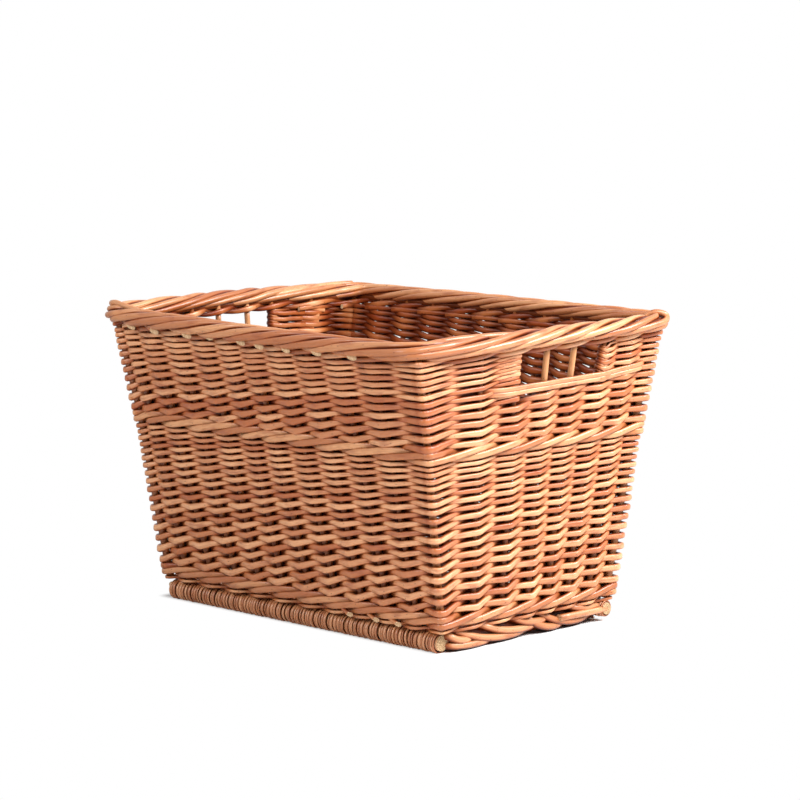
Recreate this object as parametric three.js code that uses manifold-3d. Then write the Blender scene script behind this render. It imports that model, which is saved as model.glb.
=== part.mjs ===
// Wicker storage basket: a tapered rectangular basket of whole willow rods on a flat stick base,
// with a hand hole in each short side and a rolled rod border. Millimetres, +Z up, X along the
// long sides, origin on the floor at the middle of the foot.
import * as THREE from "three";
import Module from "manifold-3d";

const wasm = await Module();
wasm.setup();

// Plan sizes at the foot, measured between the stake lines of opposite sides, and how much
// longer and wider the basket gets from the foot to the waist and from the waist to the rim
const footLength = 383;
const footWidth = 226;
const lowerFlareLength = 22;
const lowerFlareWidth = 61;
const upperFlareLength = 16;
const upperFlareWidth = 42;

// Heights of the bands, from the floor up
const upsettHeight = 18;
const lowerWeaveHeight = 145;
const midWaleHeight = 12;
const upperWeaveHeight = 80;
const topWaleHeight = 4.4;
const borderHeight = 18;

// Rods
const stakeDiameter = 6.2;
const cornerStakeDiameter = 7.5;
const lowerWeaverButt = 6.2;
const lowerWeaverTip = 3.4;
const upperWeaverButt = 5.4;
const upperWeaverTip = 3.4;
const clearance = 0.3;

// Weaving
const lowerRoundCount = 17;
const upperRoundCount = 10;
const roundClosingShare = 0.33;
const rodsCover = 1.2;
// Share of a rod's thickness that stands out beyond a corner stake
const cornerRodShare = 0.75;

// Wales and border
const upsettDepth = 21;
const midWaleDepth = 24;
const topWaleDepth = 15;
const waleCrown = 2.5;
// Where a wale's outer ridge runs, as a share of its height: at the start and end of a stroke,
// and level all round
const strokeLowShare = 0.3;
const strokeHighShare = 0.75;
const strokeLevelShare = 0.5;
const waleCornerShare = 0.8;
const borderStrandCount = 5;
const borderDepth = 26;
const borderOverhang = 5.5;
const borderBend = 20;
const strandGrooveShare = 0.12;

// Foot and base
const footStickDiameter = 14;
const footStickInset = 2.5;
const bindingThickness = 2.7;
const bindingGroove = 0.9;
const bindingTurnCount = 15;
const bindingRecess = 0.5;
const standingCut = 0.5;
const baseStickCount = 5;
const baseStickDiameter = 9;
const baseWeaverDiameter = 2.8;
const footBorderDepth = 17;
const footBorderHeight = 18;
const footBorderInset = 2;
const footBorderStrandCount = 3;

// Hand holes
const holeHeight = 25;
const jambWrap = 3.2;

// Where the stakes stand along each side, as seen from outside, from -1 at the left corner
// to 1 at the right corner: at the foot, and under the border
const longStakes = {
  foot: [-0.844, -0.642, -0.449, -0.272, -0.092, 0.111, 0.297, 0.484, 0.667, 0.857],
  rim: [-0.935, -0.784, -0.595, -0.399, -0.224, -0.084, 0.112, 0.297, 0.496, 0.707],
};
const rearStakes = {
  foot: [-0.83, -0.64, -0.46, -0.27, -0.09, 0.1, 0.28, 0.47, 0.65, 0.84],
  rim: [-0.84, -0.67, -0.49, -0.31, -0.12, 0.06, 0.24, 0.43, 0.62, 0.8],
};
const rightStakes = {
  foot: [-0.657, -0.31, 0, 0.248, 0.49, 0.76],
  rim: [-0.502, -0.197, 0.053, 0.29, 0.554, 0.778],
};
const leftStakes = {
  foot: [-0.62, -0.28, -0.06, 0.19, 0.42, 0.7],
  rim: [-0.596, -0.254, -0.049, 0.199, 0.415, 0.681],
};
// The first and last of the four stakes that the hand hole spans, counted along the side
const holeJambs = [1, 4];

// Levels worked out from the heights
const footAxis = footStickDiameter / 2 + bindingThickness;
const bindingRadius = footAxis + standingCut;
const upsettBottom = footAxis + bindingRadius + clearance;
const lowerBottom = upsettBottom + upsettHeight + clearance;
const midWaleBottom = lowerBottom + lowerWeaveHeight + clearance;
const upperBottom = midWaleBottom + midWaleHeight + clearance;
const topWaleBottom = upperBottom + upperWeaveHeight + clearance;
const borderBottom = topWaleBottom + topWaleHeight + clearance;
const waistLevel = midWaleBottom + midWaleHeight / 2;
const rimLevel = borderBottom;
const stakeBottom = upsettBottom;
const stakeTop = borderBottom - clearance;

// Fineness of the faceted forms: the faces round each rod, the sections of each bend of the
// border and the length between its other sections, and the error allowed in merging faces
const stakeFaceCount = 6;
const channelFaceCount = 4;
const stickFaceCount = 8;
const bendSectionCount = 3;
const borderSpacing = 26;
const flatness = 0.01;
// How far a cutting solid runs past what it cuts
const cutOverrun = 5;

const stakeRadius = stakeDiameter / 2;
const cornerStakeRadius = cornerStakeDiameter / 2;

// The four sides, in order round the basket: the direction along the side, the direction out
// of it, and its stakes
const sides = [
  { name: "front", along: [1, 0], out: [0, -1], stakes: longStakes, corner: "front_right" },
  { name: "right", along: [0, 1], out: [1, 0], stakes: rightStakes, corner: "back_right" },
  { name: "back", along: [-1, 0], out: [0, 1], stakes: rearStakes, corner: "back_left" },
  { name: "left", along: [0, -1], out: [-1, 0], stakes: leftStakes, corner: "front_left" },
];
const stakeCount = sides.reduce((sum, side) => sum + side.stakes.foot.length + 1, 0);

const willow = {
  stake: new THREE.MeshStandardMaterial({ color: "#c98f58", roughness: 0.55, metalness: 0 }),
  weaver: new THREE.MeshStandardMaterial({ color: "#bd7c47", roughness: 0.55, metalness: 0 }),
  wale: new THREE.MeshStandardMaterial({ color: "#c5864f", roughness: 0.55, metalness: 0 }),
  border: new THREE.MeshStandardMaterial({ color: "#cd9157", roughness: 0.5, metalness: 0 }),
  base: new THREE.MeshStandardMaterial({ color: "#b5763f", roughness: 0.6, metalness: 0 }),
  stick: new THREE.MeshStandardMaterial({ color: "#c49a68", roughness: 0.6, metalness: 0 }),
};

const xAxis = new THREE.Vector3(1, 0, 0);
const yAxis = new THREE.Vector3(0, 1, 0);
const zAxis = new THREE.Vector3(0, 0, 1);

const basket = new THREE.Group();

// Half the plan size of the stake line at a height: it leans out evenly from the foot to the
// waist, and a little more from the waist to the rim.
const footPlan = [footLength, footWidth];
const waistPlan = [footLength + lowerFlareLength, footWidth + lowerFlareWidth];
const rimPlan = [waistPlan[0] + upperFlareLength, waistPlan[1] + upperFlareWidth];
function halfPlan(z) {
  const [from, to, low, high] =
    z < waistLevel
      ? [footPlan, waistPlan, footAxis, waistLevel]
      : [waistPlan, rimPlan, waistLevel, rimLevel];
  const t = (z - low) / (high - low);
  return from.map((size, i) => THREE.MathUtils.lerp(size, to[i], t) / 2);
}

// A point of a side: share runs along it from corner to corner, depth out of the stake line,
// and shift moves the point along the side.
function wallPoint(side, share, z, depth, shift = 0) {
  const [halfX, halfY] = halfPlan(z);
  const along = side.along[0] ? halfX : halfY;
  const out = side.out[0] ? halfX : halfY;
  const reach = share * along + shift;
  const away = out + depth;
  return new THREE.Vector3(
    side.along[0] * reach + side.out[0] * away,
    side.along[1] * reach + side.out[1] * away,
    z,
  );
}

// A point on the diagonal of a side's left (-1) or right (1) corner
function cornerPoint(side, end, z, depth, setBack = 0) {
  return wallPoint(side, end, z, depth, end * (depth - setBack));
}

// A stake's share of its side at a height: its line is straight from foot to rim.
function stakeShare(stakes, number, z) {
  const t = (z - footAxis) / (rimLevel - footAxis);
  return THREE.MathUtils.lerp(stakes.foot[number], stakes.rim[number], t);
}

// The triangles that close a flat ring of points, facing along the ring's own turn.
function capRing(ring) {
  const normal = new THREE.Vector3();
  ring.forEach((point, i) => {
    normal.add(new THREE.Vector3().crossVectors(point, ring[(i + 1) % ring.length]));
  });
  normal.normalize();
  const aside = Math.abs(normal.x) < Math.SQRT1_2 ? xAxis : zAxis;
  const across = new THREE.Vector3().crossVectors(normal, aside).normalize();
  const up = new THREE.Vector3().crossVectors(normal, across);
  const flat = ring.map((point) => new THREE.Vector2(point.dot(across), point.dot(up)));
  const triangles = THREE.ShapeUtils.triangulateShape(flat, []);
  const areas = triangles.map((triangle) => THREE.ShapeUtils.area(triangle.map((i) => flat[i])));
  const area = areas.reduce((sum, one) => sum + one, 0);
  return area > 0 ? triangles : triangles.map((triangle) => triangle.toReversed());
}

// Turns rings of points and triangles between them into a closed solid that faces outwards.
function closedSolid(rings, triangles) {
  const points = rings.flat();
  let volume = 0;
  for (const [a, b, c] of triangles) {
    volume += points[a].dot(new THREE.Vector3().crossVectors(points[b], points[c]));
  }
  const outward = volume > 0 ? triangles : triangles.map((triangle) => triangle.toReversed());
  const mesh = new wasm.Mesh({
    numProp: 3,
    vertProperties: new Float32Array(points.flatMap((point) => point.toArray())),
    triVerts: new Uint32Array(outward.flat()),
  });
  return new wasm.Manifold(mesh);
}

// Joins rings of equal length into a solid: open ends get a flat cap, and a joined loop meets
// its first ring again, turned by a number of points. rows may give the two triangles between
// a ring and the next for a row of points, in place of the plain pair.
function skin(rings, { joined = false, turn = 0, rows = null } = {}) {
  const count = rings[0].length;
  const last = rings.length - 1;
  const triangles = [];
  const span = (i, next, shift) => {
    const here = (j) => i * count + (j % count);
    const there = (j) => next * count + ((j + shift) % count);
    for (let j = 0; j < count; j++) {
      const woven = rows ? rows(j, here, there, i) : null;
      triangles.push(
        ...(woven ?? [
          [here(j), there(j), there(j + 1)],
          [here(j), there(j + 1), here(j + 1)],
        ]),
      );
    }
  };
  for (let i = 0; i < last; i++) span(i, i + 1, 0);
  if (joined) {
    span(last, 0, turn);
  } else {
    triangles.push(...capRing(rings[0]));
    const end = last * count;
    triangles.push(...capRing(rings[last]).map((t) => t.map((i) => i + end).toReversed()));
  }
  return closedSolid(rings, triangles);
}

// An oval polygon of points round a centre, in the plane of two directions. The first point
// lies at the start angle, and factor may draw each point in.
function polygon(centre, right, up, radiusRight, radiusUp, count, start, factor = () => 1) {
  return Array.from({ length: count }, (_, j) => {
    const angle = start + (2 * Math.PI * j) / count;
    return centre
      .clone()
      .addScaledVector(right, radiusRight * factor(j) * Math.cos(angle))
      .addScaledVector(up, radiusUp * factor(j) * Math.sin(angle));
  });
}

// Adds a piece to the basket as a named mesh, placed at its own reference point.
function addPiece(name, solid, material, at = new THREE.Vector3()) {
  const { vertProperties, triVerts } = solid.getMesh();
  const geometry = new THREE.BufferGeometry();
  geometry.setAttribute("position", new THREE.BufferAttribute(new Float32Array(vertProperties), 3));
  geometry.setIndex(new THREE.BufferAttribute(new Uint32Array(triVerts), 1));
  geometry.translate(-at.x, -at.y, -at.z);
  geometry.computeVertexNormals();
  const mesh = new THREE.Mesh(geometry, material);
  mesh.name = name;
  mesh.position.copy(at);
  basket.add(mesh);
}

// A rod along the stake line of a side, bent at the waist: a prism with a number of faces whose
// edges lie at a radius from its middle.
function wallRod(side, shareAt, low, radius, count) {
  return skin(
    [low, waistLevel, stakeTop].map((z) => {
      const centre = wallPoint(side, shareAt(z), z, 0);
      return polygon(centre, xAxis, yAxis, radius, radius, count, Math.PI / count);
    }),
  );
}

// The stakes, and the square channel that each one leaves in the weaving round it
const channels = [];
function addStake(name, side, shareAt, radius, ownSide) {
  const stake = wallRod(side, shareAt, stakeBottom, radius, stakeFaceCount);
  addPiece(name, stake, willow.stake, wallPoint(side, shareAt(stakeBottom), stakeBottom, 0));
  const channelCorner = (radius + clearance) * Math.SQRT2;
  const low = stakeBottom - cutOverrun;
  const channel = wallRod(side, shareAt, low, channelCorner, channelFaceCount);
  channels.push({ side: ownSide, solid: channel });
}
for (const side of sides) {
  side.stakes.foot.forEach((_, number) => {
    const share = (z) => stakeShare(side.stakes, number, z);
    addStake(`stake_${side.name}_${number + 1}`, side, share, stakeRadius, side);
  });
  addStake(`corner_stake_${side.corner}`, side, () => 1, cornerStakeRadius, null);
}

// Cuts the channels of one side's stakes and of the corner stakes, or all of them for a ring.
function cutChannels(solid, side = null) {
  const cutters = channels.filter((channel) => !side || !channel.side || channel.side === side);
  return wasm.Manifold.difference([solid, ...cutters.map((channel) => channel.solid)]);
}

// One side of a woven band. Each rod rises half a round from stake to stake, in front of one
// and behind the next, so that at every stake the rods stand out on the even rows of points
// and lie back on the odd rows. Between two stakes the wall draws in to the stake line, where
// each rod is half a row higher. Inside, the rounds show as ribs. Mitred at the corners.
function wovenSide(side, bottom, height, rounds, butt, tip) {
  const rowCount = 2 * rounds;
  const rowLevel = (row) => {
    const t = row / rowCount;
    return bottom + height * t * (1 + roundClosingShare * (1 - t));
  };
  const rodThickness = (z) => THREE.MathUtils.lerp(butt, tip, (z - bottom) / height);
  const column = (outerPoint, pointAt) => {
    const ring = [];
    for (let row = 0; row <= rowCount; row++) ring.push(outerPoint(row));
    for (let row = rowCount; row >= 0; row--) {
      const z = rowLevel(row);
      ring.push(pointAt(z, -stakeRadius - (row % 2 ? rodThickness(z) : rodsCover)));
    }
    return ring;
  };
  const atStake = (pointAt, front, back) => {
    const outerPoint = (row) => {
      const z = rowLevel(row);
      return pointAt(z, row % 2 ? back : front(rodThickness(z)));
    };
    return column(outerPoint, pointAt);
  };
  const betweenStakes = (left, right) => {
    const pointAt = (z, depth) => wallPoint(side, (left(z) + right(z)) / 2, z, depth);
    const outerPoint = (row) => {
      const z = rowLevel(row % rowCount ? row + 0.5 : row);
      return pointAt(z, rodThickness(z) / 2);
    };
    return column(outerPoint, pointAt);
  };
  const corner = (end) => (z, depth) => cornerPoint(side, end, z, depth, clearance);
  const cornerBack = cornerStakeRadius + clearance + rodsCover;
  const cornerFront = (rod) => Math.max(cornerStakeRadius + cornerRodShare * rod, cornerBack);
  const stakeBack = stakeRadius + clearance + rodsCover;
  const stakeFront = (rod) => stakeRadius + rod;
  const stakeShares = side.stakes.foot.map((_, number) => (z) => {
    return stakeShare(side.stakes, number, z);
  });
  const shares = [() => -1, ...stakeShares, () => 1];
  const columns = shares.flatMap((share, number) => {
    if (number === 0) return [atStake(corner(-1), cornerFront, cornerBack)];
    const bay = betweenStakes(shares[number - 1], share);
    if (number === shares.length - 1) return [bay, atStake(corner(1), cornerFront, cornerBack)];
    const pointAt = (z, depth) => wallPoint(side, share(z), z, depth);
    return [bay, atStake(pointAt, stakeFront, stakeBack)];
  });
  // Right of a stake the quads over its even rows are split the other way, along the rod that
  // goes behind, so that each rod's front stretch stands out as a slanting stroke.
  const strokes = (row, here, there, from) => {
    if (row >= rowCount || row % 2 || from % 2) return null;
    return [
      [here(row), there(row), here(row + 1)],
      [there(row), there(row + 1), here(row + 1)],
    ];
  };
  return cutChannels(skin(columns, { rows: strokes }).simplify(flatness), side);
}

// The space of a hand hole above its sill, between the wrapped jamb stakes.
function handHole(side, sill, top) {
  const deep = stakeRadius + upperWeaverButt + cutOverrun;
  return skin(
    [sill, top].map((z) => {
      const along = Math.abs(side.along[0]) ? halfPlan(z)[0] : halfPlan(z)[1];
      const edge = (number, direction) =>
        stakeShare(side.stakes, number, z) + (direction * (stakeRadius + jambWrap)) / along;
      const [near, far] = [edge(holeJambs[0], 1), edge(holeJambs[1], -1)];
      return [
        wallPoint(side, near, z, deep),
        wallPoint(side, far, z, deep),
        wallPoint(side, far, z, -deep),
        wallPoint(side, near, z, -deep),
      ];
    }),
  );
}

for (const side of sides) {
  const placeAt = (z) => wallPoint(side, 0, z, 0);
  const lower = wovenSide(
    side, lowerBottom, lowerWeaveHeight, lowerRoundCount, lowerWeaverButt, lowerWeaverTip,
  );
  addPiece(`lower_weave_${side.name}`, lower, willow.weaver, placeAt(lowerBottom));
  let upper = wovenSide(
    side, upperBottom, upperWeaveHeight, upperRoundCount, upperWeaverButt, upperWeaverTip,
  );
  if (side.out[0]) {
    const sill = upperBottom + upperWeaveHeight - holeHeight;
    upper = upper.subtract(handHole(side, sill, topWaleBottom));
  }
  addPiece(`upper_weave_${side.name}`, upper, willow.weaver, placeAt(upperBottom));
}

// Stations round a rounded rectangle, counterclockwise from the front side's left end: a point,
// the direction out of it and the length run so far.
function railStations(halfX, halfY, bend, spacing) {
  const [flatX, flatY] = [halfX - bend, halfY - bend];
  const corners = [[flatX, -flatY], [flatX, flatY], [-flatX, flatY], [-flatX, -flatY]];
  const stations = [];
  let run = 0;
  const follow = (curve, pieces) => {
    for (let k = 0; k < pieces; k++) {
      const at = curve.getPoint(k / pieces);
      const ahead = curve.getTangent(k / pieces);
      const length = run + (curve.getLength() * k) / pieces;
      stations.push({ at, out: new THREE.Vector3(ahead.y, -ahead.x, 0), length });
    }
    run += curve.getLength();
  };
  corners.forEach(([x, y], i) => {
    const turn = ((i - 1) * Math.PI) / 2;
    const arc = new THREE.EllipseCurve(x, y, bend, bend, turn, turn + Math.PI / 2);
    const [fromX, fromY] = corners[(i + 3) % 4];
    const outward = new THREE.Vector2(Math.cos(turn), Math.sin(turn)).multiplyScalar(bend);
    const line = new THREE.LineCurve(
      new THREE.Vector2(fromX, fromY).add(outward),
      new THREE.Vector2(x, y).add(outward),
    );
    follow(line, Math.round(line.getLength() / spacing));
    follow(arc, bendSectionCount);
  });
  return { stations, length: run };
}

// The section of a twisted run of rods: a lobe for each strand, with grooves between them.
function lobedSection(centre, out, depth, height, strands, twist) {
  const groove = (j) => (j % 2 ? 1 - strandGrooveShare : 1);
  return polygon(centre, out, zAxis, depth / 2, height / 2, 2 * strands, twist, groove);
}

// A twisted ring of rods round the wall: the strands climb to the right on the outside, and
// one stroke starts at each stake.
function twistedRing(level, overhang, bend, depth, height, strands, spacing) {
  const [halfX, halfY] = halfPlan(level).map((half) => half + overhang);
  const { stations, length } = railStations(halfX, halfY, bend, spacing);
  const fullTwist = (2 * Math.PI * stakeCount) / strands;
  const rings = stations.map(({ at, out, length: run }) => {
    const centre = new THREE.Vector3(at.x, at.y, level);
    return lobedSection(centre, out, depth, height, strands, (fullTwist * run) / length);
  });
  return skin(rings, { joined: true, turn: (2 * stakeCount) % (2 * strands) });
}

// A wale: a band of twined rods round all the stakes. Its outer ridge climbs from each stake to
// the next and drops back behind it, as the rods' strokes do. Its top and bottom are flat.
function addWale(name, bottom, height, depth, low, high) {
  const half = depth / 2;
  const edge = half - waleCrown;
  const section = (pointAt, ridge, cornerShare = 1) => [
    pointAt(bottom, -edge),
    pointAt(bottom, edge * cornerShare),
    pointAt(bottom + ridge * height, half * cornerShare),
    pointAt(bottom + height, edge * cornerShare),
    pointAt(bottom + height, -edge),
    pointAt(bottom + height / 2, -half),
  ];
  const rings = sides.flatMap((side) => {
    const bend = half + clearance;
    const at = (share, shift) => (z, depthAt) => wallPoint(side, share(z), z, depthAt, shift);
    const beside = stakeRadius / 2;
    return [
      section(at(() => -1, bend), low),
      ...side.stakes.foot.flatMap((_, number) => {
        const share = (z) => stakeShare(side.stakes, number, z);
        return [section(at(share, -beside), high), section(at(share, beside), low)];
      }),
      section(at(() => 1, -bend), high),
      section((z, depthAt) => cornerPoint(side, 1, z, depthAt), strokeLevelShare, waleCornerShare),
    ];
  });
  const ring = cutChannels(skin(rings, { joined: true }).simplify(flatness));
  addPiece(name, ring, willow.wale, new THREE.Vector3(0, 0, bottom));
}

addWale("upsett_wale", upsettBottom, upsettHeight, upsettDepth, strokeLowShare, strokeHighShare);
addWale("mid_wale", midWaleBottom, midWaleHeight, midWaleDepth, strokeLowShare, strokeHighShare);
addWale("top_wale", topWaleBottom, topWaleHeight, topWaleDepth, strokeLevelShare, strokeLevelShare);

const borderLevel = borderBottom + borderHeight / 2;
const border = twistedRing(
  borderLevel, borderOverhang, borderBend, borderDepth, borderHeight, borderStrandCount, borderSpacing,
);
addPiece("border", border, willow.border, new THREE.Vector3(0, 0, borderLevel));

// The section of a straight stick along X at its middle line, with a flat underneath
function stickSection(x, y, radius) {
  const corner = radius / Math.cos(Math.PI / stickFaceCount);
  const centre = new THREE.Vector3(x, y, footAxis);
  return polygon(centre, yAxis, zAxis, corner, corner, stickFaceCount, Math.PI / stickFaceCount);
}

function stickAlongX(halfLength, y, radius) {
  return skin([-halfLength, halfLength].map((x) => stickSection(x, y, radius)));
}

// The two edge sticks of the foot, each bound from end to end by the base weavers' turns. The
// basket stands on the bindings, whose turns are flattened where they meet the floor.
const footStickRadius = footStickDiameter / 2;
const footStickHalf = footLength / 2;
const footStickLine = footWidth / 2 - footStickInset;
const bindingHalf = footStickHalf - bindingRecess;
const underFoot = footStickLine + bindingRadius + cutOverrun;
const floorCut = skin(
  [-footLength, footLength].map((x) => [
    new THREE.Vector3(x, -underFoot, 0),
    new THREE.Vector3(x, underFoot, 0),
    new THREE.Vector3(x, underFoot, -cutOverrun),
    new THREE.Vector3(x, -underFoot, -cutOverrun),
  ]),
);
for (const [name, sign] of [["front", -1], ["back", 1]]) {
  const y = sign * footStickLine;
  const at = new THREE.Vector3(0, y, footAxis);
  addPiece(`foot_stick_${name}`, stickAlongX(footStickHalf, y, footStickRadius), willow.stick, at);
  const steps = 2 * bindingTurnCount;
  const turns = Array.from({ length: steps + 1 }, (_, k) => {
    const x = THREE.MathUtils.lerp(-bindingHalf, bindingHalf, k / steps);
    return stickSection(x, y, bindingRadius - (k % 2 ? 0 : bindingGroove));
  });
  const bore = stickAlongX(footStickHalf, y, footStickRadius + clearance);
  addPiece(`foot_binding_${name}`, skin(turns).subtract(bore).subtract(floorCut), willow.base, at);
}

// The rods between the stick ends at each short side, laid over each other as a low border
const innerHalf = footStickLine - bindingRadius - clearance;
const footBorderLine = footLength / 2 - footBorderInset;
for (const [name, sign] of [["right", 1], ["left", -1]]) {
  const at = new THREE.Vector3(sign * footBorderLine, 0, footAxis);
  const steps = 2 * (rightStakes.foot.length + 1);
  const rings = Array.from({ length: steps + 1 }, (_, k) => {
    const y = sign * THREE.MathUtils.lerp(-innerHalf, innerHalf, k / steps);
    const out = new THREE.Vector3(sign, 0, 0);
    const twist = (Math.PI * k) / footBorderStrandCount;
    const centre = new THREE.Vector3(at.x, y, footAxis);
    return lobedSection(centre, out, footBorderDepth, footBorderHeight, footBorderStrandCount, twist);
  });
  addPiece(`foot_border_${name}`, skin(rings), willow.wale, at);
}

// The base: sticks along X, and the weaving across them, ribbed where each weaver crosses
const baseHalfLength = footBorderLine - footBorderDepth / 2 - clearance;
const baseStickRadius = baseStickDiameter / 2;
const baseLines = Array.from({ length: baseStickCount }, (_, i) => {
  return innerHalf * ((2 * (i + 1)) / (baseStickCount + 1) - 1);
});
const baseSteps = 2 * bindingTurnCount;
const baseRings = Array.from({ length: baseSteps + 1 }, (_, k) => {
  const x = THREE.MathUtils.lerp(-baseHalfLength, baseHalfLength, k / baseSteps);
  const half = baseStickRadius + (k % 2 ? baseWeaverDiameter : baseWeaverDiameter / 2);
  return [
    new THREE.Vector3(x, -innerHalf, footAxis - half),
    new THREE.Vector3(x, innerHalf, footAxis - half),
    new THREE.Vector3(x, innerHalf, footAxis + half),
    new THREE.Vector3(x, -innerHalf, footAxis + half),
  ];
});
const baseBores = baseLines.map((y) => stickAlongX(footLength, y, baseStickRadius + clearance));
const baseWeave = wasm.Manifold.difference([skin(baseRings), ...baseBores]);
addPiece("base_weave", baseWeave, willow.base, new THREE.Vector3(0, 0, footAxis));
baseLines.forEach((y, i) => {
  const stick = stickAlongX(baseHalfLength, y, baseStickRadius);
  addPiece(`base_stick_${i + 1}`, stick, willow.stick, new THREE.Vector3(0, y, footAxis));
});

export default basket;
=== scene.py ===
"""Wicker storage basket: every willow rod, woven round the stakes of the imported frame.

Shapes are worked out in millimetres and go into the meshes in metres. A place round the basket
is counted in stakes, counterclockwise from the first front stake, so place 3.5 lies midway
between stakes 3 and 4. Depth points out of the stake line, and Z is the height above the floor.
Hand weaving has pulled the rim up a little on some sides. The rise grows evenly from the bend of
the stakes to their tops, and all that is woven round them goes up with it.
"""

import math

import bpy
import numpy as np
from mathutils import Matrix, Vector


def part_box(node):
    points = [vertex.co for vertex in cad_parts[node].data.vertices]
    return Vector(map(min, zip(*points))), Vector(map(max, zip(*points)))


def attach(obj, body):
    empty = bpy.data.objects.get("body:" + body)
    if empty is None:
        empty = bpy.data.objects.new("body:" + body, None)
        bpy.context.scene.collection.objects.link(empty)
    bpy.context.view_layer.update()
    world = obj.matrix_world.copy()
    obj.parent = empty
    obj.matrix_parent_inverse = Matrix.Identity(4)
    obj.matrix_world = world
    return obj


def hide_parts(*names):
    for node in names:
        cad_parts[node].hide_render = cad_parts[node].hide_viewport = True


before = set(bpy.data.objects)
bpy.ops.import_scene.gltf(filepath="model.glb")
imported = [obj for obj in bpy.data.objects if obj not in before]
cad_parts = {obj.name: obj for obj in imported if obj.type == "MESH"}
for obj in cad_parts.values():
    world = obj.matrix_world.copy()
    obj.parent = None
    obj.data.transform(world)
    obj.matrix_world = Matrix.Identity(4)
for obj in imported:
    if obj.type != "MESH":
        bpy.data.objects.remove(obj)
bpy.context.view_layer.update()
scene = bpy.context.scene

MM = 0.001
SEED = 7
rng = np.random.default_rng(SEED)


def extent(node):
    """Lowest and highest corner of a node of the frame, in millimetres."""
    low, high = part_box(node)
    return np.array(low) / MM, np.array(high) / MM


def middle(node):
    """The middle of a node of the frame, in millimetres."""
    low, high = extent(node)
    return (low + high) / 2


# The stakes of the frame, in their order round the basket

SIDES = (("front", (0, -1)), ("right", (1, 0)), ("back", (0, 1)), ("left", (-1, 0)))
CORNERS = ("front_right", "back_right", "back_left", "front_left")
STAKE_RADIUS, CORNER_RADIUS = 3.1, 3.75


def stake_axis(node):
    """A stake's middle line: the mean of its mesh points near its lowest level, near the middle
    one, where it bends, and near its highest."""
    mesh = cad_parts[node].data
    points = np.empty(3 * len(mesh.vertices))
    mesh.vertices.foreach_get("co", points)
    points = np.unique((points.reshape(-1, 3) / MM).round(2), axis=0)
    levels = points[:, 2].min(), np.median(points[:, 2]), points[:, 2].max()
    return [points[np.abs(points[:, 2] - level) < 1].mean(0) for level in levels]


names, outs, bay_outs, radii = [], [], [], []
for (side, out), corner, (_, next_out) in zip(SIDES, CORNERS, SIDES[1:] + SIDES[:1]):
    count = sum(name.startswith(f"stake_{side}_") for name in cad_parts)
    names += [f"stake_{side}_{number + 1}" for number in range(count)] + [f"corner_stake_{corner}"]
    outs += [out] * count + [np.add(out, next_out) / math.sqrt(2)]
    bay_outs += [out] * count + [next_out]
    radii += [STAKE_RADIUS] * count + [CORNER_RADIUS]
STAKES = len(names)
AXES = np.array([stake_axis(name) for name in names])
OUTS = np.array(outs, float)
BAY_OUTS = np.array(bay_outs, float)
RADII = np.array(radii)
IS_CORNER = np.array([name.startswith("corner") for name in names])
STAKE_TOP = AXES[0, 2, 2]

# How far each stake sways along its side: the heights of two waves, and their lengths over 2 pi
SWAY = rng.uniform(-1, 1, (STAKES, 3))
LONG_SWAY, LONG_WAVE = 0.9, 33
SHORT_SWAY, SHORT_WAVE = 0.5, 14

# Rise of the rim: rows from the front to the back, and in each the left, the middle and the right
RIM_RISES = np.array([[4.5, -0.3, 0.3], [6.8, 2.5, 1.8], [2.5, 3.8, 3.2]])


def parts_of_three(place):
    """The parts that the first, middle and last of three values play at places from -1 to 1: the
    three parabolas that are 1 at their own value's place and 0 at the other two."""
    return np.stack([place * (place - 1) / 2, 1 - place**2, place * (place + 1) / 2], axis=-1)


rim_places = AXES[:, 2, :2] / np.abs(AXES[:, 2, :2]).max(0)
LIFTS = np.einsum(
    "ni,ij,nj->n", parts_of_three(rim_places[:, 1]), RIM_RISES, parts_of_three(rim_places[:, 0])
)


def stake_at(number, z):
    """Points on the stakes' middle lines: straight from the bottom to the bend and on to the top,
    with a slight sway along the side, the sum of two sines of the height, and with the rise of
    the rim, in proportion to the way from the bend to the top. Corner stakes do not sway."""
    number = number % STAKES
    bottom, bend, top = AXES[number, 0], AXES[number, 1], AXES[number, 2]
    above = z > bend[:, 2]
    start = np.where(above[:, None], bend, bottom)
    end = np.where(above[:, None], top, bend)
    share = (z - start[:, 2]) / (end[:, 2] - start[:, 2])
    point = start + (end - start) * share[:, None]
    sway = SWAY[number]
    long_sway = LONG_SWAY * sway[:, 0] * np.sin(z / LONG_WAVE + 6 * sway[:, 1])
    short_sway = SHORT_SWAY * sway[:, 2] * np.sin(z / SHORT_WAVE)
    shift = np.where(IS_CORNER[number], 0, long_sway + short_sway)
    out = OUTS[number]
    point[:, 0] -= out[:, 1] * shift
    point[:, 1] += out[:, 0] * shift
    point[:, 2] += LIFTS[number] * np.clip(np.where(above, share, 0), 0, 1)
    return point


def wall(place, depth, z):
    """Points of the wall: between two stakes the point shares their places, and the depth is
    measured square to the side, or along the diagonal at a corner stake itself."""
    place, depth, z = np.broadcast_arrays(*map(np.asarray, (place, depth, z)))
    number = np.floor(place).astype(int)
    share = place - number
    here, there = stake_at(number, z), stake_at(number + 1, z)
    out = np.where((share == 0)[:, None], OUTS[number % STAKES], BAY_OUTS[number % STAKES])
    point = here + (there - here) * share[:, None]
    point[:, :2] += out * depth[:, None]
    return point


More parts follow.
